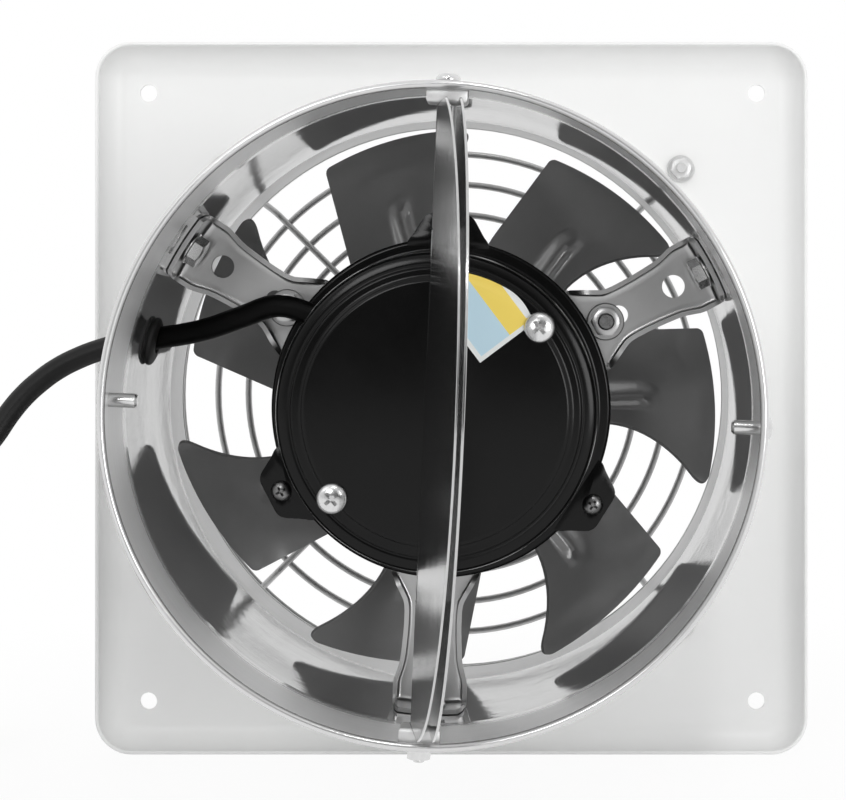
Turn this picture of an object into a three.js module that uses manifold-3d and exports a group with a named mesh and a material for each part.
import * as THREE from 'three';
import { mergeVertices } from 'three/addons/utils/BufferGeometryUtils.js';
import Module from 'manifold-3d';

const wasm = await Module();
wasm.setup();

// A 6 inch class wall exhaust fan with a round outlet duct and a butterfly damper.
// Millimetres, +Z up. The wall is the plane Y = 0, the room is on its +Y side, and the
// outlet points along -Y. The origin is on the duct's axis. Angles run from +X towards +Z,
// counter-clockwise for someone who looks into the outlet along +Y.

// General clearances
const seatGap = 0.3;
const cutOverrun = 1;

// Mounting plate, a shallow tray whose edge is turned toward the wall
const plateMargin = 23.5;
const plateSheet = 1;
const plateDepth = 9;
const plateEdgeRadius = 8;
const plateInnerCornerRadius = 2.5;
const wallHoleInset = 14;
const wallHoleRadius = 2.5;

// Duct tube, turned a little clockwise on the plate
const ductOuterRadius = 80;
const ductWall = 0.8;
const ductLength = 110;
const ductFlangeWidth = 6;
const rimRollRadius = 1;
const ductRollDegrees = 2.5;

// Wire guard on the room side
const guardWireRadius = 1;
const guardHeight = 31;
const guardFirstRingRadius = 27.2;
const guardShoulderReach = 20.8;
const guardFlatRingCount = 6;
const guardBoltSetback = 15;
const guardBend = 3;
const guardDiscRadius = 19;
const guardDiscSheet = 1;
const guardDiscDish = 2;
const guardWeldSink = 0.5;

// Guard bolts through the plate
const guardBoltRadius = 1.5;
const guardNutFlats = 5.5;
const guardNutHeight = 2.4;
const guardWasherRadius = 4;
const guardWasherSheet = 0.6;
const guardHeadRadius = 3;
const guardHeadHeight = 2;
const guardBoltTail = 1.2;

// Motor brackets: places along the radius, depths behind the duct's rim
const bracketSheet = 1.2;
const bracketFrontDepth = 49.4;
const bracketInnerHalfWidth = 12;
const bracketWaistHalfWidth = 7.4;
const bracketOuterHalfWidth = 9.6;
const bracketWaistReach = 11.2;
const bracketFlareSetback = 9;
const bracketBlend = 4;
const bracketLipHeight = 2.4;
const bracketTabLength = 12;
const bracketHoleRadius = 3;
const bracketHoleSetback = 11.5;
const bracketBoltRadius = 2;
const bracketBoltFlats = 7;
const bracketBoltHeadHeight = 2.8;
const bracketBoltWasherRadius = 4.4;
const bracketBoltWasherSheet = 0.8;
const bracketBoltTail = 1;
const bracketAngles = [30, 150, 270];

// Motor casing: depths behind the duct's rim
const coverFaceDepth = 15;
const coverStep = 1;
const coverEdgeRadius = 5;
const coverWall = 1.6;
const coverPanelInset = 7;
const coverPanelHeight = 0.6;
const motorJointDepth = 43.5;
const motorFlangeWidth = 3;
const motorFlangeSheet = 2;
const housingRadius = 41;
const housingWall = 1.6;
const housingRearDepth = 64;
const housingEdgeRadius = 4;
const rearBossHeight = 4;
const rearBossRadius = 13;
const earReach = 6.4;
const earBaseHalfWidth = 9.4;
const earTipHalfWidth = 5.8;
const earScrewReach = 2.6;
const earScrewRadius = 1.5;
const earScrewHeadRadius = 2.7;
const earScrewHeadHeight = 1.7;
const earAngles = [90, 210, 330];
const lugHalfWidth = 6.5;
const lugThickness = 3;
const lugRim = 4.6;
const studRadius = 2.2;
const studTail = 1.2;
const motorNutFlats = 7;
const motorNutHeight = 3.2;
const motorWasherRadius = 4.9;
const motorWasherSheet = 0.9;
const coverScrewRadius = 2;
const coverScrewHeadRadius = 3.9;
const coverScrewHeadHeight = 1.9;
const coverScrewReach = 7;
const coverScrewAngles = [222, 42];

// Motor inside
const shaftRadius = 4;
const shaftRunningGap = 1;
const bearingRadius = 11;
const bearingWidth = 6.7;
const bearingCollarWall = 2;
const statorLength = 14;
const statorRearGap = 8.8;
const statorWall = 18.1;
const statorYoke = 5;
const statorSlotWidth = 4;
const statorSlotCount = 8;
const airGap = 0.6;
const windingInnerReach = 3;
const windingOuterInset = 4.1;
const windingHeight = 5.8;
const windingRound = 1.8;

// Impeller: seven pitched blades round a hub
const impellerReach = 21.5;
const impellerStartDegrees = 1.6;
const bladeCount = 7;
const bladeTipClearance = 4.2;
const bladeSheet = 1.2;
const bladeLeadWidth = 18.2;
const bladeRootLeadWidth = 9;
const bladeFullLeadRadius = 50;
const bladeRootTrailWidth = 7;
const bladeTipTrailWidth = 27;
const bladeSweepStartRadius = 42;
const bladeTrailCornerRadius = 5;
const bladeLeadCornerRadius = 1.5;
const bladeCamber = 2;
const bladeRibHalfWidth = 4;
const bladeRibHeight = 1.6;
const bladeRibEndRadius = 58;
const bladeRibFade = 6;
const bladeRootSlope = 0.9;
const bladeTipSlope = 0.58;
const hubRadius = 24;
const hubLength = 20;
const hubWall = 2;
const hubBossRadius = 8;
const impellerNutFlats = 13;
const impellerNutHeight = 4;
const shaftTail = 1.6;

// Butterfly damper at the outlet: depths behind the duct's rim
const hingeDepth = 6;
const hingeRodRadius = 1.5;
const hingeHeadRadius = 3;
const hingeHeadHeight = 1.8;
const hingeNutFlats = 5.5;
const hingeNutHeight = 2.4;
const hingeRodTail = 0.8;
const hingeBlockHalfWidth = 5;
const hingeBlockHalfDepth = 3.6;
const hingeBlockHeight = 4.2;
const flapSheet = 0.6;
const flapRunningGap = 2.2;
const knuckleCount = 5;
const leftFlapOpenDegrees = 97.9;
const rightFlapOpenDegrees = 84.2;
const stopScrewRadius = 1.75;
const stopScrewReach = 7;
const stopHeadRadius = 3.2;
const stopHeadHeight = 2;

// Cable entry, motor lead and power cord
const cordRadius = 3;
const grommetAngle = 169.8;
const grommetDepth = 50;
const grommetNeckRadius = 5.2;
const grommetFlangeRadius = 6.4;
const grommetFlangeSheet = 1.5;
const grommetSag = 0.3;
const leadExitSlopeDegrees = 12.5;
const leadEntryReach = 3.8;
const leadEntryAngle = 145.7;
const leadEntryTurnDegrees = 22;
const coilMeanRadius = 35;
const coilBundleRadius = 7.6;
const coilCentre = [-150, -52, -60.8];
const plugLength = 28;
const plugHalfWidth = 12;
const plugHalfThickness = 7;
const plugReliefLength = 13;
const plugReliefRadius = 3.8;
const plugReliefEndShare = 0.7;
const plugReliefSinkShare = 0.1;
const pinLength = 17;
const pinHalfWidth = 3.15;
const pinHalfThickness = 0.75;
const pinSpacing = 12.7;

// How finely round things are drawn
const roundSides = 48;
const motorSides = 24;
const ringSides = 24;
const insideSides = 18;
const smallSides = 12;
const tinySides = 8;
const wireSides = 5;
const cordSides = 8;
const hexSides = 6;
const hubSidesPerBlade = 4;

// Places that follow from the sizes
const ductInnerRadius = ductOuterRadius - ductWall;
const plateWallFace = plateDepth - plateSheet;
const rimY = plateWallFace - ductLength;
const behindRim = (depth) => rimY + depth;
const hexRadius = (flats) => flats / Math.sqrt(3);
const radians = THREE.MathUtils.degToRad;
const rightAngle = Math.PI / 2;
const plateSide = 2 * (ductOuterRadius + plateMargin);
const wallHoleSpacing = plateSide - 2 * wallHoleInset;
const guardBoltCircleRadius = ductOuterRadius + guardBoltSetback;
const guardRingSpread = guardBoltCircleRadius - guardShoulderReach - guardFirstRingRadius;
const guardRingPitch = guardRingSpread / (guardFlatRingCount - 1);
const bladeTipRadius = ductInnerRadius - bladeTipClearance;
const coverRadius = housingRadius - coverStep;
const coverPanelRadius = coverRadius - coverPanelInset;
const motorFlangeRadius = housingRadius + motorFlangeWidth;
const earReachRadius = motorFlangeRadius + earReach;
const earScrewCircleRadius = motorFlangeRadius + earScrewReach;
const statorFrontDepth = housingRearDepth - statorRearGap - statorLength;
const leadEntryDepth = statorFrontDepth - leadEntryReach;
const impellerDepth = housingRearDepth + impellerReach;

// Closed solids: geometry with shared corners, no slivers and its faces pointing out
function closed(geometry) {
  const bare = geometry.clone();
  bare.deleteAttribute('normal');
  bare.deleteAttribute('uv');
  const merged = mergeVertices(bare);
  const index = merged.index.array;
  const faces = [];
  for (let i = 0; i < index.length; i += 3) {
    const face = [index[i], index[i + 1], index[i + 2]];
    if (new Set(face).size === 3) faces.push(face);
  }
  const corner = (i) => new THREE.Vector3().fromBufferAttribute(merged.attributes.position, i);
  const sixVolumes = faces.map(([a, b, c]) => corner(a).dot(corner(b).cross(corner(c))));
  if (sixVolumes.reduce((sum, v) => sum + v, 0) < 0) faces.forEach((face) => face.reverse());
  merged.setIndex(faces.flat());
  return merged;
}

function solidOf(shape) {
  if (shape instanceof wasm.Manifold) return shape;
  const { attributes, index } = closed(shape);
  return new wasm.Manifold(new wasm.Mesh({
    numProp: attributes.position.itemSize,
    vertProperties: Float32Array.from(attributes.position.array),
    triVerts: Uint32Array.from(index.array),
  }));
}

function geometryOf(shape) {
  if (!(shape instanceof wasm.Manifold)) return closed(shape);
  const { vertProperties, numProp, triVerts } = shape.getMesh();
  const geometry = new THREE.BufferGeometry();
  geometry.setAttribute('position', new THREE.BufferAttribute(vertProperties, numProp));
  geometry.setIndex(new THREE.BufferAttribute(triVerts, 1));
  return geometry;
}

const join = (first, ...more) => more.reduce((sum, shape) => sum.add(solidOf(shape)), solidOf(first));
const cut = (base, ...tools) => tools.reduce((left, tool) => left.subtract(solidOf(tool)), solidOf(base));
const common = (first, second) => solidOf(first).intersect(solidOf(second));

// A round bar along Y, one along the radius at angle 0, and a hexagonal one along Y
function bar(radius, from, to, sides = smallSides) {
  return new THREE.CylinderGeometry(radius, radius, to - from, sides).translate(0, (from + to) / 2, 0);
}

const radialBar = (radius, from, to, sides) => bar(radius, from, to, sides).rotateZ(-rightAngle);
const hexBar = (flats, from, to) => bar(hexRadius(flats), from, to, hexSides);
const turned = (geometry, degrees) => geometry.rotateY(-radians(degrees));

// A profile of [radius, y] points turned round the Y axis, its ends on the axis or closed
function revolve(profile, sides = motorSides) {
  const points = profile.map(([radius, y]) => new THREE.Vector2(radius, y));
  if (profile[0][0] > 0) points.push(points[0].clone());
  return new THREE.LatheGeometry(points, sides);
}

// Points on an arc in a plane
function arc(centreX, centreY, radius, fromDegrees, toDegrees, steps) {
  return Array.from({ length: steps + 1 }, (_, i) => {
    const angle = radians(fromDegrees + ((toDegrees - fromDegrees) * i) / steps);
    return [centreX + radius * Math.cos(angle), centreY + radius * Math.sin(angle)];
  });
}

// A flat outline in X and Z, given a thickness along +Y from y
function sheet(outline, thickness, y) {
  const shape = outline instanceof THREE.Shape
    ? outline
    : new THREE.Shape(outline.map(([x, z]) => new THREE.Vector2(x, z)));
  return new THREE.ExtrudeGeometry(shape, { depth: thickness, bevelEnabled: false, curveSegments: 6 })
    .rotateX(rightAngle)
    .translate(0, y + thickness, 0);
}

// A box between two corners
function block([x0, y0, z0], [x1, y1, z1]) {
  return new THREE.BoxGeometry(x1 - x0, y1 - y0, z1 - z0)
    .translate((x0 + x1) / 2, (y0 + y1) / 2, (z0 + z1) / 2);
}

// A round wire along a curve
function wire(curve, radius, steps, sides = wireSides) {
  const section = arc(0, 0, radius, 0, 360, sides).slice(1).map(([x, y]) => new THREE.Vector2(x, y));
  return new THREE.ExtrudeGeometry(new THREE.Shape(section), {
    steps,
    extrudePath: curve,
    bevelEnabled: false,
  });
}

// A skin through rings of points that lie one behind the other, with flat ends
function loft(rings) {
  const count = rings[0].length;
  const faces = [];
  for (let k = 0; k + 1 < rings.length; k += 1) {
    for (let i = 0; i < count; i += 1) {
      const here = k * count + i;
      const next = k * count + ((i + 1) % count);
      faces.push(here, next, next + count, here, next + count, here + count);
    }
  }
  const last = (rings.length - 1) * count;
  for (let i = 1; i + 1 < count; i += 1) {
    faces.push(0, i + 1, i, last, last + i, last + i + 1);
  }
  const geometry = new THREE.BufferGeometry().setFromPoints(rings.flat());
  geometry.setIndex(faces);
  return geometry;
}

// A rounded rectangle as a ring of points, in the plane that place sets them in
function roundedRectangle(halfWidth, halfHeight, cornerRadius, steps, place) {
  const x = halfWidth - cornerRadius;
  const z = halfHeight - cornerRadius;
  const corners = [[x, z, 0], [-x, z, 90], [-x, -z, 180], [x, -z, 270]];
  return corners
    .flatMap(([cx, cz, start]) => arc(cx, cz, cornerRadius, start, start + 90, steps))
    .map(([u, v]) => place(u, v));
}

// Finishes of the real pieces
const finish = (color, roughness, metalness) => (
  new THREE.MeshStandardMaterial({ color, roughness, metalness })
);
const whitePaint = finish(0xe9e9e7, 0.45, 0);
const polishedSteel = finish(0xc9ccd0, 0.12, 1);
const wireSteel = finish(0x8d9092, 0.4, 0.8);
const zincSteel = finish(0xa7a9aa, 0.3, 1);
const blackPaint = finish(0x121213, 0.35, 0.1);
const impellerPaint = finish(0x454544, 0.45, 0.2);
const blackRubber = finish(0x0c0c0c, 0.7, 0);
const screwSteel = finish(0xb9bbbc, 0.3, 1);
const copper = finish(0xa65a24, 0.4, 0.8);
const lamination = finish(0x6c6f73, 0.5, 0.9);
const brass = finish(0xc8a24c, 0.3, 1);

const fan = new THREE.Group();
const ductGroup = new THREE.Group();
ductGroup.rotation.y = radians(ductRollDegrees);
const rotorGroup = new THREE.Group();
rotorGroup.rotation.y = -radians(impellerStartDegrees);
fan.add(ductGroup, rotorGroup);

// Names a piece and puts it in its group, turned round the duct's axis by an angle
function piece(name, shape, material, parent = fan, angle = 0) {
  const mesh = new THREE.Mesh(geometryOf(shape), material);
  mesh.geometry.computeVertexNormals();
  mesh.name = name;
  mesh.rotation.y = -radians(angle);
  parent.add(mesh);
  return mesh;
}

// Mounting plate
function plateSkin(offset, start) {
  const radius = plateEdgeRadius - offset;
  const bend = arc(0, plateDepth - plateEdgeRadius, radius, 0, 90, 3);
  const section = [[radius, start], ...bend];
  return loft(section.map(([reach, y]) => {
    const half = plateSide / 2 - plateEdgeRadius + reach;
    return roundedRectangle(half, half, plateInnerCornerRadius + reach, 3, (x, z) => (
      new THREE.Vector3(x, y, z)
    ));
  }));
}

function throughPlate(radius, x, z, sides = smallSides) {
  return bar(radius, -cutOverrun, plateDepth + cutOverrun, sides).translate(x, 0, z);
}

const diagonalAngles = [45, 135, 225, 315];
const onCircle = (radius, degrees) => [
  radius * Math.cos(radians(degrees)),
  radius * Math.sin(radians(degrees)),
];
const wallHoles = diagonalAngles.map((angle) => (
  throughPlate(wallHoleRadius, ...onCircle(wallHoleSpacing / Math.SQRT2, angle))
));
const guardHoles = diagonalAngles.map((angle) => (
  throughPlate(guardBoltRadius + seatGap, ...onCircle(guardBoltCircleRadius, angle))
));
const plate = cut(
  plateSkin(0, 0),
  plateSkin(plateSheet, -cutOverrun),
  throughPlate(ductInnerRadius, 0, 0, roundSides),
  ...wallHoles,
  ...guardHoles,
);
piece('mounting_plate', plate, whitePaint);

// Duct tube: rolled rim, wall and the flange that is welded to the plate
const flangeFace = plateWallFace - seatGap;
const ductSkin = revolve([
  [ductInnerRadius, flangeFace],
  [ductOuterRadius + ductFlangeWidth, flangeFace],
  [ductOuterRadius + ductFlangeWidth, flangeFace - ductWall],
  [ductOuterRadius, flangeFace - ductWall],
  ...arc(ductOuterRadius - rimRollRadius, rimY + rimRollRadius, rimRollRadius, 0, -240, 4),
  [ductInnerRadius, rimY + 2 * rimRollRadius],
], roundSides);

function wallHole(radius, angle, depth, sides = tinySides) {
  const tool = radialBar(radius + seatGap, ductInnerRadius - cutOverrun, ductOuterRadius + cutOverrun, sides);
  return turned(tool.translate(0, behindRim(depth), 0), angle);
}

// A closed flap rests on the stop screws, so their place follows the flap's sheet
const knuckleBore = hingeRodRadius + seatGap;
const knuckleRadius = knuckleBore + flapSheet;
const stopDepth = hingeDepth + knuckleRadius + seatGap + stopScrewRadius;
const bracketBoltDepth = bracketFrontDepth - bracketTabLength / 2 + bracketSheet / 2;
const duct = cut(
  ductSkin,
  ...bracketAngles.map((angle) => wallHole(bracketBoltRadius, angle, bracketBoltDepth)),
  ...[0, 180].map((angle) => wallHole(stopScrewRadius, angle, stopDepth)),
  ...[90, 270].map((angle) => wallHole(hingeRodRadius, angle, hingeDepth)),
  wallHole(grommetNeckRadius, grommetAngle, grommetDepth, smallSides),
);
piece('duct_tube', duct, polishedSteel, ductGroup);

// Wire guard: flat rings, two rings on the shoulder and four spokes that end in eyes
const guardEyeY = plateDepth + seatGap + guardWireRadius;
const guardEyeRadius = guardBoltRadius + seatGap + guardWireRadius;
const guardFaceY = plateDepth + guardHeight;
const guardWeldOffset = 2 * guardWireRadius - guardWeldSink;
const guardSpokeY = guardFaceY - guardWeldOffset;
const guardLastRing = guardFirstRingRadius + (guardFlatRingCount - 1) * guardRingPitch;
const guardSpokeEnd = guardBoltCircleRadius - guardEyeRadius;
const guardShoulderTop = new THREE.Vector3(guardLastRing + guardRingPitch / 2, guardSpokeY, 0);
const guardFootRadius = guardBoltCircleRadius - guardWasherRadius - seatGap - guardBend;
const guardShoulderFoot = new THREE.Vector3(guardFootRadius, guardEyeY, 0);
const shoulderRingShares = [0.35, 0.8];

function guardRing(radius, y, sides = ringSides) {
  return revolve(arc(radius, y, guardWireRadius, 0, 360, wireSides).slice(1), sides);
}

// The points of a path with each inner corner rounded off, starting reach before it
function roundedPath(points, reach, steps) {
  return points.flatMap((point, i) => {
    if (i === 0 || i === points.length - 1) return [point];
    const toward = (other) => other.clone().sub(point).setLength(reach).add(point);
    const bend = new THREE.QuadraticBezierCurve3(toward(points[i - 1]), point, toward(points[i + 1]));
    return bend.getPoints(steps);
  });
}

// A wire through points in the plane Z = 0
function bentWire(points, radius, sides = wireSides) {
  const up = new THREE.Vector3(0, 0, 1);
  return loft(points.map((point, i) => {
    const before = points[Math.max(i - 1, 0)];
    const after = points[Math.min(i + 1, points.length - 1)];
    const across = new THREE.Vector3().crossVectors(up, after.clone().sub(before)).normalize();
    return arc(0, 0, radius, 0, 360, sides).slice(1).map(([u, v]) => (
      point.clone().addScaledVector(across, u).addScaledVector(up, v)
    ));
  }));
}

function guardSpoke() {
  const path = roundedPath([
    new THREE.Vector3(guardDiscRadius / 2, guardSpokeY, 0),
    guardShoulderTop,
    guardShoulderFoot,
    new THREE.Vector3(guardSpokeEnd, guardEyeY, 0),
  ], guardBend, 3);
  const eye = guardRing(guardEyeRadius, guardEyeY, tinySides).translate(guardBoltCircleRadius, 0, 0);
  return geometryOf(join(bentWire(path, guardWireRadius), eye));
}

const slope = guardShoulderFoot.clone().sub(guardShoulderTop);
const outward = new THREE.Vector3(-slope.y, slope.x, 0).setLength(guardWeldOffset);
const shoulderRings = shoulderRingShares.map((share) => {
  const place = guardShoulderTop.clone().addScaledVector(slope, share).add(outward);
  return guardRing(place.x, place.y);
});
const flatRings = Array.from({ length: guardFlatRingCount }, (_, i) => (
  guardRing(guardFirstRingRadius + i * guardRingPitch, guardFaceY)
));
const guardSpokes = diagonalAngles.map((angle) => turned(guardSpoke(), angle));
piece('wire_guard', join(guardSpokes[0], ...flatRings, ...shoulderRings, ...guardSpokes.slice(1)), wireSteel);

// Centre disc of the guard, dished, on the spokes inside the first ring
const discY = guardSpokeY + guardWireRadius + seatGap;
piece('guard_centre_disc', revolve([
  [0, discY + guardDiscDish + guardDiscSheet],
  [guardDiscRadius - guardDiscDish, discY + guardDiscDish + guardDiscSheet],
  [guardDiscRadius, discY + guardDiscSheet],
  [guardDiscRadius, discY],
  [guardDiscRadius - guardDiscDish, discY + guardDiscDish],
  [0, discY + guardDiscDish],
], ringSides), wireSteel);

// Guard bolts: the head holds the guard's eye, and the nut sits on the plate's wall side
function washer(radius, thickness, y) {
  return bar(radius, y, y + thickness, tinySides);
}

function guardBolt() {
  const headY = guardEyeY + guardWireRadius + seatGap;
  const nutY = plateWallFace - seatGap - guardWasherSheet;
  return join(
    bar(guardBoltRadius, nutY - guardNutHeight - guardBoltTail, headY + guardHeadHeight, tinySides),
    washer(guardWasherRadius, guardWasherSheet, headY),
    hexBar(guardNutFlats, nutY - guardNutHeight, nutY + guardWasherSheet),
    washer(guardWasherRadius, guardWasherSheet, nutY),
    bar(guardHeadRadius, headY, headY + guardWasherSheet + guardHeadHeight, tinySides),
  );
}

diagonalAngles.forEach((angle, i) => {
  const bolt = geometryOf(guardBolt()).translate(guardBoltCircleRadius, 0, 0);
  piece(`guard_bolt_${i + 1}`, bolt, screwSteel, fan, angle);
});

// Motor brackets: a stamped arm with lips along its sides and a tab on the duct's wall
const tabOuterRadius = ductInnerRadius - seatGap;
const tabInnerRadius = tabOuterRadius - bracketSheet;
const bracketFrontY = behindRim(bracketFrontDepth);
const bracketInnerRadius = housingRadius + 2 * seatGap + bracketSheet;
const bracketWaistRadius = bracketInnerRadius + bracketWaistReach;
const bracketFlareRadius = ductOuterRadius - bracketFlareSetback;
const bracketHoleCircleRadius = ductOuterRadius - bracketHoleSetback;

function bracketOutline(inset, overrun) {
  const corner = (u, w) => new THREE.Vector3(u, w - inset, 0);
  const side = roundedPath([
    corner(bracketInnerRadius - overrun, bracketInnerHalfWidth),
    corner(bracketInnerRadius + bracketBlend, bracketInnerHalfWidth - bracketBlend / 2),
    corner(bracketWaistRadius, bracketWaistHalfWidth),
    corner(bracketFlareRadius, bracketOuterHalfWidth),
    corner(ductOuterRadius + overrun, bracketOuterHalfWidth),
  ], bracketBlend / 2, 2);
  const mirrored = side.map((point) => [point.x, -point.y]).reverse();
  return [...side.map((point) => [point.x, point.y]), ...mirrored];
}

const studCircleRadius = motorFlangeRadius + hexRadius(motorNutFlats) + seatGap;

function bracket() {
  const lipY = bracketFrontY - bracketLipHeight;
  const backY = bracketFrontY + bracketSheet;
  const arm = cut(
    sheet(bracketOutline(0, 0), backY - lipY, lipY),
    sheet(bracketOutline(bracketSheet, cutOverrun), bracketLipHeight + cutOverrun, lipY - cutOverrun),
  );
  const wallSleeve = cut(
    bar(tabOuterRadius, bracketFrontY - bracketTabLength, backY, roundSides),
    bar(tabInnerRadius, bracketFrontY - bracketTabLength - cutOverrun, backY + cutOverrun, roundSides),
  );
  const tabSlab = block(
    [0, bracketFrontY - bracketTabLength, -bracketOuterHalfWidth],
    [ductOuterRadius, backY, bracketOuterHalfWidth],
  );
  const hole = (radius, place) => (
    bar(radius, lipY - cutOverrun, backY + cutOverrun, tinySides).translate(place, 0, 0)
  );
  const fitted = common(arm, bar(tabOuterRadius, lipY, backY, roundSides));
  return cut(
    join(fitted, common(wallSleeve, tabSlab)),
    hole(bracketHoleRadius, bracketHoleCircleRadius),
    hole(studRadius + seatGap, studCircleRadius),
    radialBar(bracketBoltRadius + seatGap, tabInnerRadius - cutOverrun, ductOuterRadius, tinySides)
      .translate(0, behindRim(bracketBoltDepth), 0),
  );
}

function bracketBolt() {
  const washerFace = tabInnerRadius - seatGap;
  const headFace = washerFace - bracketBoltWasherSheet;
  const nutFace = ductOuterRadius + seatGap;
  const tail = nutFace + bracketBoltHeadHeight + bracketBoltTail;
  const hex = (from, to) => hexBar(bracketBoltFlats, from, to).rotateZ(-rightAngle);
  return geometryOf(join(
    radialBar(bracketBoltRadius, headFace, tail, tinySides),
    radialBar(bracketBoltWasherRadius, headFace, washerFace, tinySides),
    hex(headFace - bracketBoltHeadHeight, headFace + bracketBoltWasherSheet / 2),
    hex(nutFace, nutFace + bracketBoltHeadHeight),
  )).translate(0, behindRim(bracketBoltDepth), 0);
}

bracketAngles.forEach((angle, i) => {
  piece(`bracket_${i + 1}`, bracket(), zincSteel, ductGroup, angle);
  piece(`bracket_bolt_${i + 1}`, bracketBolt(), screwSteel, ductGroup, angle);
});

// Motor casing: the front cover and the rear housing meet at a flange with three ears
const coverFaceY = behindRim(coverFaceDepth);
const jointY = behindRim(motorJointDepth);
const coverFlangeBack = jointY - seatGap / 2;
const housingFlangeFront = jointY + seatGap / 2;
const housingRearY = behindRim(housingRearDepth);
const bearingBore = bearingRadius + seatGap;
const collarRadius = bearingBore + bearingCollarWall;

function ear(thickness, y) {
  const base = coverRadius - coverWall / 2;
  return sheet([
    [base, -earBaseHalfWidth],
    [motorFlangeRadius, -earBaseHalfWidth],
    [earReachRadius, -earTipHalfWidth],
    [earReachRadius, earTipHalfWidth],
    [motorFlangeRadius, earBaseHalfWidth],
    [base, earBaseHalfWidth],
  ], thickness, y);
}

const allEars = (y) => earAngles.map((angle) => turned(ear(motorFlangeSheet, y), angle));
const earHoles = earAngles.map((angle) => turned(
  bar(earScrewRadius + seatGap, jointY - 2 * motorFlangeSheet, jointY + 2 * motorFlangeSheet, tinySides)
    .translate(earScrewCircleRadius, 0, 0),
  angle,
));

// The lead leaves the cover's side and runs in front of the left bracket to the grommet
const polar = (radius, degrees, depth) => {
  const [x, z] = onCircle(radius, degrees);
  return new THREE.Vector3(x, behindRim(depth), z);
};
const grommetCentre = polar((ductInnerRadius + ductOuterRadius) / 2, grommetAngle, grommetDepth);
const leadOutDirection = polar(1, 180 + leadExitSlopeDegrees, 0).setY(0);
const grommetReach = ductWall / 2 + grommetFlangeSheet + grommetSag + seatGap;
const leadEnd = grommetCentre.clone().addScaledVector(leadOutDirection, grommetReach);
const leadEntry = polar(coverRadius, leadEntryAngle, leadEntryDepth);
const leadInDirection = polar(1, leadEntryAngle + leadEntryTurnDegrees, 0).setY(0);
const leadStart = leadEntry.clone().addScaledVector(leadInDirection, -2 * coverWall);
const leadIn = grommetCentre.clone().addScaledVector(leadOutDirection, -grommetReach);
const leadSpan = leadEntry.distanceTo(leadIn);
const leadAlongShares = [0.23, 0.44, 0.64, 0.79];
const leadRiseShares = [0.085, 0.052, 0.015, 0.003];
const leadForwardShares = [0.051, 0.057, 0.036, 0.008];
const leadMiddle = leadAlongShares.map((along, i) => {
  const bow = new THREE.Vector3(0, -leadForwardShares[i], leadRiseShares[i]);
  return leadEntry.clone().lerp(leadIn, along).addScaledVector(bow, leadSpan);
});
const leadRoute = new THREE.CatmullRomCurve3([
  leadStart,
  leadEntry,
  ...leadMiddle,
  leadIn,
  grommetCentre,
  leadEnd,
]);
const leadSteps = 12;

const coverShoulderY = coverFaceY + coverPanelHeight;
const coverInsideY = coverShoulderY + coverWall;
const coverFillet = coverRadius - coverEdgeRadius;
const coverProfile = [
  [0, coverFaceY],
  [coverPanelRadius, coverFaceY],
  [coverPanelRadius + coverPanelHeight, coverShoulderY],
  ...arc(coverFillet, coverShoulderY + coverEdgeRadius, coverEdgeRadius, -90, 0, 3),
  [coverRadius, coverFlangeBack - motorFlangeSheet],
  [motorFlangeRadius, coverFlangeBack - motorFlangeSheet],
  [motorFlangeRadius, coverFlangeBack],
  [coverRadius - coverWall, coverFlangeBack],
  [coverRadius - coverWall, coverShoulderY + coverEdgeRadius],
  [coverFillet, coverInsideY],
  [collarRadius, coverInsideY],
  [collarRadius, coverInsideY + bearingWidth],
  [bearingBore, coverInsideY + bearingWidth],
  [bearingBore, coverInsideY],
  [0, coverInsideY],
];
const coverScrewHoles = coverScrewAngles.map((angle) => turned(
  bar(coverScrewRadius + seatGap, coverFaceY - cutOverrun, coverFaceY + coverScrewReach, tinySides)
    .translate(coverPanelRadius, 0, 0),
  angle,
));
piece('motor_front_cover', cut(
  join(revolve(coverProfile), ...allEars(coverFlangeBack - motorFlangeSheet)),
  ...earHoles,
  ...coverScrewHoles,
  wire(leadRoute, cordRadius + seatGap, leadSteps, cordSides),
), blackPaint, ductGroup);

// Rear housing with three lugs; a stud stands on each lug and carries a bracket
const lugY = bracketFrontY + bracketSheet + seatGap;

function studLug() {
  const lug = sheet([
    [housingRadius - housingWall / 2, -lugHalfWidth],
    [studCircleRadius, -lugHalfWidth],
    ...arc(studCircleRadius, 0, lugRim, -60, 60, 3),
    [studCircleRadius, lugHalfWidth],
    [housingRadius - housingWall / 2, lugHalfWidth],
  ], lugThickness, lugY);
  const studY = bracketFrontY - seatGap - motorWasherSheet - motorNutHeight - studTail;
  const stud = bar(studRadius, studY, lugY + lugThickness / 2, tinySides);
  return geometryOf(join(lug, stud.translate(studCircleRadius, 0, 0)));
}

const housingFillet = housingRadius - housingEdgeRadius;
const housingProfile = [
  [motorFlangeRadius, housingFlangeFront],
  [motorFlangeRadius, housingFlangeFront + motorFlangeSheet],
  [housingRadius, housingFlangeFront + motorFlangeSheet],
  ...arc(housingFillet, housingRearY - housingEdgeRadius, housingEdgeRadius, 0, 90, 3),
  [rearBossRadius, housingRearY],
  [rearBossRadius, housingRearY + rearBossHeight],
  [shaftRadius + shaftRunningGap, housingRearY + rearBossHeight],
  [shaftRadius + shaftRunningGap, housingRearY - housingWall],
  [bearingBore, housingRearY - housingWall],
  [bearingBore, housingRearY - housingWall - bearingWidth],
  [collarRadius, housingRearY - housingWall - bearingWidth],
  [collarRadius, housingRearY - housingWall],
  [housingFillet, housingRearY - housingWall],
  [housingRadius - housingWall, housingRearY - housingEdgeRadius],
  [housingRadius - housingWall, housingFlangeFront],
];
piece('motor_rear_housing', cut(
  join(
    revolve(housingProfile),
    ...allEars(housingFlangeFront),
    ...bracketAngles.map((angle) => turned(studLug(), angle)),
  ),
  ...earHoles,
), blackPaint, ductGroup);

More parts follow.
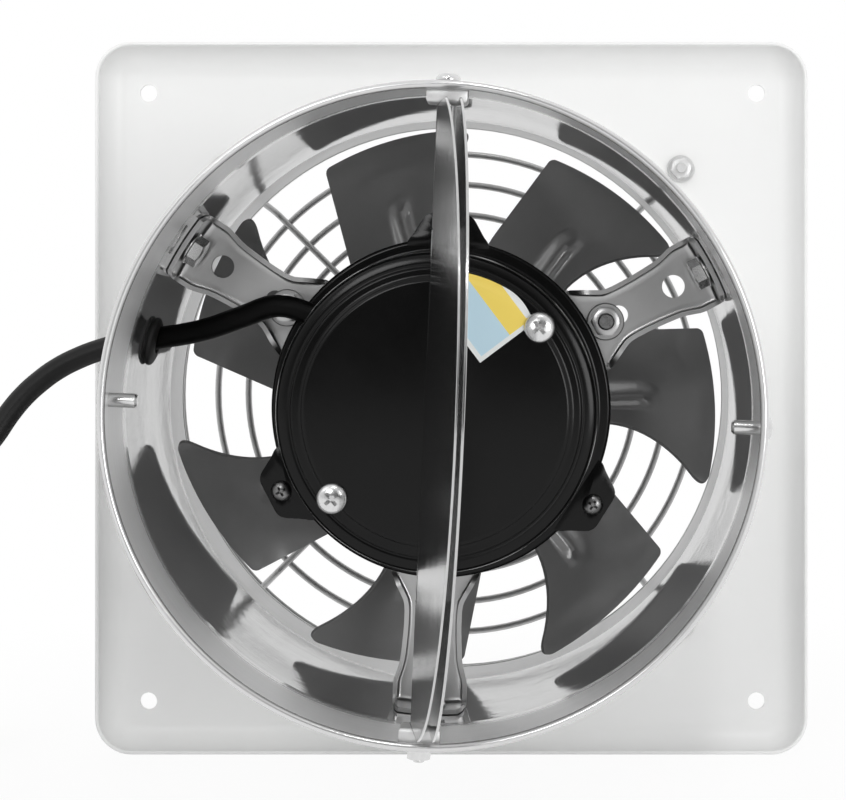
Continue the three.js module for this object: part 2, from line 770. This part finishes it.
// Fasteners of the motor
function panScrew(radius, reach, headRadius, headHeight, faceY) {
  const top = faceY - seatGap;
  return revolve([
    [0, top - headHeight],
    [headRadius / 2, top - headHeight],
    [headRadius, top - headHeight / 3],
    [headRadius, top],
    [radius, top],
    [radius, faceY + reach],
    [0, faceY + reach],
  ], tinySides);
}

earAngles.forEach((angle, i) => {
  const faceY = coverFlangeBack - motorFlangeSheet;
  const reach = 2 * motorFlangeSheet + seatGap;
  const screw = panScrew(earScrewRadius, reach, earScrewHeadRadius, earScrewHeadHeight, faceY);
  piece(`ear_screw_${i + 1}`, screw.translate(earScrewCircleRadius, 0, 0), screwSteel, ductGroup, angle);
});
coverScrewAngles.forEach((angle, i) => {
  const screw = panScrew(
    coverScrewRadius,
    coverScrewReach - seatGap,
    coverScrewHeadRadius,
    coverScrewHeadHeight,
    coverFaceY,
  );
  const name = `cover_screw_${i + 1}`;
  piece(name, screw.translate(coverPanelRadius, 0, 0), screwSteel, ductGroup, angle);
});

function motorNut() {
  const washerY = bracketFrontY - seatGap - motorWasherSheet;
  return geometryOf(cut(
    join(
      washer(motorWasherRadius, motorWasherSheet, washerY),
      hexBar(motorNutFlats, washerY - motorNutHeight, washerY + motorWasherSheet / 2),
    ),
    bar(studRadius + seatGap, washerY - 2 * motorNutHeight, bracketFrontY, tinySides),
  )).translate(studCircleRadius, 0, 0);
}

bracketAngles.forEach((angle, i) => {
  piece(`motor_nut_${i + 1}`, motorNut(), screwSteel, ductGroup, angle);
});

// Motor inside: stator, windings and two bearings stand still
const statorFrontY = behindRim(statorFrontDepth);
const statorBackY = statorFrontY + statorLength;
const statorRadius = coverRadius - coverWall - seatGap;
const statorBoreRadius = statorRadius - statorWall;
const windingInnerRadius = statorBoreRadius + windingInnerReach;
const windingOuterRadius = statorRadius - windingOuterInset;

function tube(innerRadius, outerRadius, from, to, sides) {
  return revolve([
    [innerRadius, from],
    [outerRadius, from],
    [outerRadius, to],
    [innerRadius, to],
  ], sides);
}

const slots = Array.from({ length: statorSlotCount }, (_, i) => {
  const slot = block(
    [statorBoreRadius - cutOverrun, statorFrontY - cutOverrun, -statorSlotWidth / 2],
    [statorRadius - statorYoke, statorBackY + cutOverrun, statorSlotWidth / 2],
  );
  return turned(slot, (i * 360) / statorSlotCount);
});
piece('stator_core', cut(
  tube(statorBoreRadius, statorRadius, statorFrontY, statorBackY, ringSides),
  ...slots,
), lamination, ductGroup);

function winding(from) {
  const middle = from + windingHeight / 2;
  const to = from + windingHeight;
  return revolve([
    [windingInnerRadius + windingRound, from],
    [windingOuterRadius - windingRound, from],
    [windingOuterRadius, middle],
    [windingOuterRadius - windingRound, to],
    [windingInnerRadius + windingRound, to],
    [windingInnerRadius, middle],
  ], insideSides);
}

piece('winding_front', winding(statorFrontY - seatGap - windingHeight), copper, ductGroup);
piece('winding_rear', winding(statorBackY + seatGap), copper, ductGroup);

function bearing(from) {
  const race = (bearingRadius - shaftRadius) / 3;
  const shieldDrop = bearingWidth / 12;
  const inner = shaftRadius + seatGap;
  const to = from + bearingWidth - 2 * seatGap;
  return revolve([
    [inner, from],
    [inner + race, from + shieldDrop],
    [bearingRadius - race, from + shieldDrop],
    [bearingRadius, from],
    [bearingRadius, to],
    [bearingRadius - race, to - shieldDrop],
    [inner + race, to - shieldDrop],
    [inner, to],
  ], smallSides);
}

const frontBearingY = coverInsideY + seatGap;
piece('bearing_front', bearing(frontBearingY), screwSteel, ductGroup);
piece('bearing_rear', bearing(housingRearY - housingWall - bearingWidth + seatGap), screwSteel, ductGroup);

// Rotor: shaft, core, hub, seven blades and the nut turn together
const impellerY = behindRim(impellerDepth);
const hubFrontY = impellerY - hubLength / 2;
const hubBackY = impellerY + hubLength / 2;
const nutFrontY = hubBackY + seatGap;
const shaftBackY = nutFrontY + impellerNutHeight + shaftTail;
const shaftChamfer = shaftTail / 2;
piece('motor_shaft', revolve([
  [0, frontBearingY],
  [shaftRadius - shaftChamfer, frontBearingY],
  [shaftRadius, frontBearingY + shaftChamfer],
  [shaftRadius, shaftBackY - shaftChamfer],
  [shaftRadius - shaftChamfer, shaftBackY],
  [0, shaftBackY],
], smallSides), screwSteel, rotorGroup);

const shaftSeat = shaftRadius + seatGap;
const rotorRadius = statorBoreRadius - airGap;
const rotorCore = tube(shaftSeat, rotorRadius, statorFrontY, statorBackY, insideSides);
piece('rotor_core', rotorCore, lamination, rotorGroup);
piece('impeller_hub', revolve([
  [shaftSeat, hubFrontY],
  [hubBossRadius, hubFrontY],
  [hubBossRadius, hubBackY - hubWall],
  [hubRadius - hubWall, hubBackY - hubWall],
  [hubRadius - hubWall, hubFrontY],
  [hubRadius, hubFrontY],
  [hubRadius, hubBackY],
  [shaftSeat, hubBackY],
], bladeCount * hubSidesPerBlade), impellerPaint, rotorGroup);
piece('impeller_nut', cut(
  hexBar(impellerNutFlats, nutFrontY, nutFrontY + impellerNutHeight),
  bar(shaftSeat, nutFrontY - cutOverrun, shaftBackY + cutOverrun, smallSides),
), screwSteel, rotorGroup);

// One blade stands along +X. Its sheet is drawn over (r, w): the distance from the shaft
// and the distance across from the blade's middle line, positive on the leading side.
const bladeRootRadius = hubRadius + seatGap;
const bladeRowShares = [0, 0.28, 0.54, 0.72, 0.88, 1];
const bladeLeadColumnShares = [1, 0.9, 0.45];
const bladeRibColumnShares = [1, 0.5, 0, -0.5, -1];
const bladeTrailColumnShares = [0.4, 0.75, 0.92, 1];
const squared = (value) => value * value;
const share = (value, from, to) => THREE.MathUtils.clamp((value - from) / (to - from), 0, 1);

const leadEdge = (r) => {
  const missing = 1 - share(r, bladeRootRadius, bladeFullLeadRadius);
  return bladeLeadWidth - (bladeLeadWidth - bladeRootLeadWidth) * squared(missing);
};
const trailEdge = (r) => {
  const sweep = squared(share(r, bladeSweepStartRadius, bladeTipRadius));
  return -THREE.MathUtils.lerp(bladeRootTrailWidth, bladeTipTrailWidth, sweep);
};

// How far a rounded corner lowers the tip at a distance in from the blade's edge
function cornerDrop(distance, radius) {
  const short = Math.max(radius - distance, 0);
  return radius - Math.sqrt(squared(radius) - squared(short));
}

function bladePoint(r, w) {
  const lead = leadEdge(r);
  const trail = trailEdge(r);
  const across = (2 * w - lead - trail) / (lead - trail);
  const outward = share(r, bladeRootRadius, bladeTipRadius);
  const pitch = THREE.MathUtils.lerp(bladeRootSlope, bladeTipSlope, outward);
  const bulge = bladeCamber * (1 - squared(across));
  const ribAcross = squared(Math.cos(rightAngle * Math.min(Math.abs(w) / bladeRibHalfWidth, 1)));
  const ribAlong = share(bladeRibEndRadius - r, 0, bladeRibFade);
  const rib = bladeRibHeight * ribAcross * ribAlong;
  return new THREE.Vector3(Math.sqrt(squared(r) - squared(w)), impellerY + pitch * w + bulge - rib, w);
}

function bladeColumn(widthAt, corner) {
  return bladeRowShares.map((rowShare) => {
    const top = bladeTipRadius - corner;
    const r = THREE.MathUtils.lerp(bladeRootRadius, top, rowShare);
    return bladePoint(r, widthAt(r));
  });
}

function blade() {
  const columns = [
    ...bladeLeadColumnShares.map((s) => (r) => THREE.MathUtils.lerp(bladeRibHalfWidth, leadEdge(r), s)),
    ...bladeRibColumnShares.map((s) => () => bladeRibHalfWidth * s),
    ...bladeTrailColumnShares.map((s) => (r) => THREE.MathUtils.lerp(-bladeRibHalfWidth, trailEdge(r), s)),
  ];
  const middle = columns.map((widthAt) => {
    const w = widthAt(bladeTipRadius);
    const fromLead = cornerDrop(leadEdge(bladeTipRadius) - w, bladeLeadCornerRadius);
    const fromTrail = cornerDrop(w - trailEdge(bladeTipRadius), bladeTrailCornerRadius);
    return bladeColumn(widthAt, Math.max(fromLead, fromTrail));
  });
  return thickened(middle, bladeSheet);
}

// A closed sheet of metal round a grid of middle points
function thickened(grid, thickness) {
  const rows = grid[0].length;
  const normalAt = (i, j) => {
    const along = grid[i][Math.min(j + 1, rows - 1)].clone().sub(grid[i][Math.max(j - 1, 0)]);
    const across = grid[Math.min(i + 1, grid.length - 1)][j].clone().sub(grid[Math.max(i - 1, 0)][j]);
    return along.cross(across).setX(0).normalize();
  };
  const skin = (side) => grid.map((column, i) => column.map((point, j) => (
    point.clone().addScaledVector(normalAt(i, j), (side * thickness) / 2)
  )));
  const front = skin(1);
  const back = skin(-1);
  const rings = grid.map((_, i) => [...front[i], ...back[i].reverse()]);
  return loft(rings);
}

for (let k = 0; k < bladeCount; k += 1) {
  piece(`blade_${k + 1}`, blade(), impellerPaint, rotorGroup, (360 * k) / bladeCount);
}

// Butterfly damper: two half-round flaps hang on one upright rod across the duct's mouth
const hingeY = behindRim(hingeDepth);
const blockReach = ductInnerRadius - seatGap;
const blockFace = blockReach - hingeBlockHeight;

function hingeBlock() {
  const slab = block(
    [blockFace, hingeY - hingeBlockHalfDepth, -hingeBlockHalfWidth],
    [ductOuterRadius, hingeY + hingeBlockHalfDepth, hingeBlockHalfWidth],
  );
  const within = bar(blockReach, hingeY - ductLength, hingeY + ductLength, roundSides);
  const bore = radialBar(hingeRodRadius + seatGap, blockFace - cutOverrun, ductOuterRadius, smallSides);
  return cut(common(slab, within), bore.translate(0, hingeY, 0));
}

piece('hinge_block_top', hingeBlock(), zincSteel, ductGroup, 90);
piece('hinge_block_bottom', hingeBlock(), zincSteel, ductGroup, 270);

const hingeSeat = ductOuterRadius + seatGap;
const hingeNutEnd = hingeSeat + hingeNutHeight;
const hingeRod = join(
  radialBar(hingeRodRadius, -hingeNutEnd - hingeRodTail, hingeSeat + hingeHeadHeight / 2, smallSides),
  radialBar(hingeHeadRadius, hingeSeat, hingeSeat + hingeHeadHeight, smallSides),
);
piece('hinge_rod', geometryOf(hingeRod).translate(0, hingeY, 0), screwSteel, ductGroup, 90);
const hingeNut = cut(
  hexBar(hingeNutFlats, hingeSeat, hingeNutEnd),
  bar(hingeRodRadius + seatGap, hingeSeat - cutOverrun, hingeNutEnd + cutOverrun),
);
const hingeNutPlace = geometryOf(hingeNut).rotateZ(-rightAngle).translate(0, hingeY, 0);
piece('hinge_nut', hingeNutPlace, screwSteel, ductGroup, 270);

// A flap, closed: its rod runs along Z, its leaf reaches to +X, and it rolls round the rod
// at its own knuckles and is notched at the other flap's
const flapRadius = ductInnerRadius - flapRunningGap;
const flapTop = blockFace - seatGap;
const flapCornerDegrees = THREE.MathUtils.radToDeg(Math.asin(flapTop / flapRadius));
const knuckleLength = (2 * flapTop) / knuckleCount;
const flapArcSteps = 14;

function flap(isOwn) {
  const leaf = sheet([
    [0, -flapTop],
    ...arc(0, 0, flapRadius, -flapCornerDegrees, flapCornerDegrees, flapArcSteps),
    [0, flapTop],
  ], flapSheet, knuckleBore);
  const places = Array.from({ length: knuckleCount }, (_, i) => ({
    own: isOwn(i),
    from: -flapTop + i * knuckleLength,
    to: -flapTop + (i + 1) * knuckleLength,
  }));
  const notches = places.filter(({ own }) => !own).map(({ from, to }) => block(
    [-cutOverrun, 0, from - seatGap / 2],
    [knuckleRadius + seatGap, 2 * knuckleRadius, to + seatGap / 2],
  ));
  const knuckles = places.filter(({ own }) => own).map(({ from, to }, i, all) => {
    const start = from === -flapTop ? from : from + seatGap / 2;
    const end = to === flapTop ? to : to - seatGap / 2;
    return tube(knuckleBore, knuckleRadius, start, end, tinySides).rotateX(rightAngle);
  });
  return geometryOf(join(cut(leaf, ...notches), ...knuckles));
}

function hangFlap(name, shape, openDegrees) {
  const mesh = piece(name, shape, polishedSteel, ductGroup);
  mesh.position.y = hingeY;
  mesh.rotation.z = radians(openDegrees);
}

hangFlap('right_flap', flap((i) => i % 2 === 1), -rightFlapOpenDegrees);
hangFlap('left_flap', flap((i) => i % 2 === 0).scale(-1, 1, 1), leftFlapOpenDegrees);

// Stop screws that the closed flaps rest on
const stopSeat = ductOuterRadius + seatGap;
const stopScrew = geometryOf(join(
  radialBar(stopScrewRadius, ductInnerRadius - stopScrewReach, stopSeat + stopHeadHeight / 2, tinySides),
  radialBar(stopHeadRadius, stopSeat, stopSeat + stopHeadHeight, smallSides),
)).translate(0, behindRim(stopDepth), 0);
piece('stop_screw_right', stopScrew, screwSteel, ductGroup, 0);
piece('stop_screw_left', stopScrew, screwSteel, ductGroup, 180);

// Rubber grommet in the duct's wall, bored along the lead's slope
const grommetInnerFace = ductInnerRadius - grommetSag - seatGap;
const grommetOuterFace = ductOuterRadius + seatGap;
const grommetRound = grommetFlangeSheet / 3;
const grommetBody = revolve([
  [0, grommetInnerFace - grommetFlangeSheet],
  [grommetFlangeRadius - grommetRound, grommetInnerFace - grommetFlangeSheet],
  [grommetFlangeRadius, grommetInnerFace - grommetFlangeSheet + grommetRound],
  [grommetFlangeRadius, grommetInnerFace],
  [grommetNeckRadius, grommetInnerFace],
  [grommetNeckRadius, grommetOuterFace],
  [grommetFlangeRadius, grommetOuterFace],
  [grommetFlangeRadius, grommetOuterFace + grommetFlangeSheet - grommetRound],
  [grommetFlangeRadius - grommetRound, grommetOuterFace + grommetFlangeSheet],
  [0, grommetOuterFace + grommetFlangeSheet],
], smallSides).rotateZ(-rightAngle).translate(0, behindRim(grommetDepth), 0);
const grommetWay = [-1, 1].map((side) => (
  grommetCentre.clone().addScaledVector(leadOutDirection, side * 2 * grommetFlangeRadius)
));
piece('cord_grommet', cut(
  turned(grommetBody, grommetAngle),
  wire(new THREE.LineCurve3(...grommetWay), cordRadius + seatGap, 1, smallSides),
), blackRubber, ductGroup);
piece('motor_lead', wire(leadRoute, cordRadius, leadSteps, cordSides), blackRubber, ductGroup);

// Power cord: its own route outside the duct, then a tied coil that stands beside the fan
const [coilX, coilY, coilZ] = coilCentre;
const outside = (point) => point.clone().applyEuler(ductGroup.rotation);
const cordStart = outside(leadEnd.clone().addScaledVector(leadOutDirection, seatGap));
const cordRoute = new THREE.CatmullRomCurve3([
  cordStart,
  new THREE.Vector3(-86, -52.2, 16),
  new THREE.Vector3(-91, -52.6, 14.6),
  new THREE.Vector3(-96, -53.2, 12.6),
  new THREE.Vector3(-101, -54.1, 9.9),
  new THREE.Vector3(-105.2, -55.2, 6.7),
  new THREE.Vector3(-109, -56.5, 3),
  new THREE.Vector3(-112.5, -58, -1.6),
  new THREE.Vector3(-116, -60, -7.4),
  new THREE.Vector3(-120.8, -63.2, -13.6),
  new THREE.Vector3(-126.3, -67.3, -19.1),
  new THREE.Vector3(-131.9, -71.9, -24.4),
  new THREE.Vector3(-137, -76.5, -30.1),
  new THREE.Vector3(-141.4, -80.7, -36.8),
  new THREE.Vector3(-144.3, -84.3, -45.2),
  new THREE.Vector3(-147.6, -85.6, -51),
]);
const tailRoute = new THREE.CatmullRomCurve3([
  new THREE.Vector3(-150, -52, -100.4),
  new THREE.Vector3(-150, -44, -100.4),
  new THREE.Vector3(-150, -37, -99.8),
  new THREE.Vector3(-150, -30, -98.1),
  new THREE.Vector3(-150, -25, -96.9),
  new THREE.Vector3(-150, -20, -96.4),
]);
const cordSteps = 12;
const tailSteps = 4;

function coilRing(radius) {
  const section = arc(coilMeanRadius, 0, radius, 0, 360, tinySides).slice(1);
  return revolve(section, ringSides).rotateZ(-rightAngle).translate(coilX, coilY, coilZ);
}

piece('cord_coil', coilRing(coilBundleRadius), blackRubber);
const cordRoom = coilRing(coilBundleRadius + seatGap);
piece('power_cord', cut(wire(cordRoute, cordRadius, cordSteps, cordSides), cordRoom), blackRubber);
piece('cord_tail', cut(wire(tailRoute, cordRadius, tailSteps, cordSides), cordRoom), blackRubber);

// Two-pin plug on the cord's end; along its own X the pins point away from the cord
const plugGroup = new THREE.Group();
const tailEnd = tailRoute.getPoint(1);
const tailDirection = tailRoute.getTangent(1);
const plugSide = new THREE.Vector3(0, 0, 1).cross(tailDirection).normalize();
plugGroup.quaternion.setFromRotationMatrix(new THREE.Matrix4().makeBasis(
  tailDirection,
  plugSide,
  tailDirection.clone().cross(plugSide),
));
plugGroup.position.copy(tailEnd).addScaledVector(tailDirection, seatGap);
fan.add(plugGroup);

const plugRingShares = [
  [0, 0.45, 0.62],
  [0.12, 0.72, 0.86],
  [0.32, 0.92, 1],
  [0.9, 1, 1],
  [1, 0.92, 0.88],
];
const plugShell = loft(plugRingShares.map(([alongShare, widthShare, thicknessShare]) => {
  const x = plugReliefLength + alongShare * plugLength;
  const halfWidth = plugHalfWidth * widthShare;
  const halfThickness = plugHalfThickness * thicknessShare;
  return roundedRectangle(halfWidth, halfThickness, halfThickness / 2, 2, (y, z) => (
    new THREE.Vector3(x, y, z)
  ));
}));
const plugRelief = revolve([
  [0, 0],
  [plugReliefRadius, 0],
  [plugHalfThickness * plugReliefEndShare, plugReliefLength + plugLength * plugReliefSinkShare],
  [0, plugReliefLength + plugLength * plugReliefSinkShare],
], smallSides).rotateZ(-rightAngle);
piece('plug_body', join(plugShell, plugRelief), blackRubber, plugGroup);

const pinFace = plugReliefLength + plugLength + seatGap;
const pinTip = pinFace + pinLength;
[-1, 1].forEach((side, i) => {
  const pin = sheet([
    [pinFace, -pinHalfWidth],
    [pinTip - pinHalfWidth / 2, -pinHalfWidth],
    [pinTip, -pinHalfWidth / 2],
    [pinTip, pinHalfWidth / 2],
    [pinTip - pinHalfWidth / 2, pinHalfWidth],
    [pinFace, pinHalfWidth],
  ], 2 * pinHalfThickness, (side * pinSpacing) / 2 - pinHalfThickness);
  piece(`plug_pin_${i + 1}`, pin, brass, plugGroup);
});

export default fan;
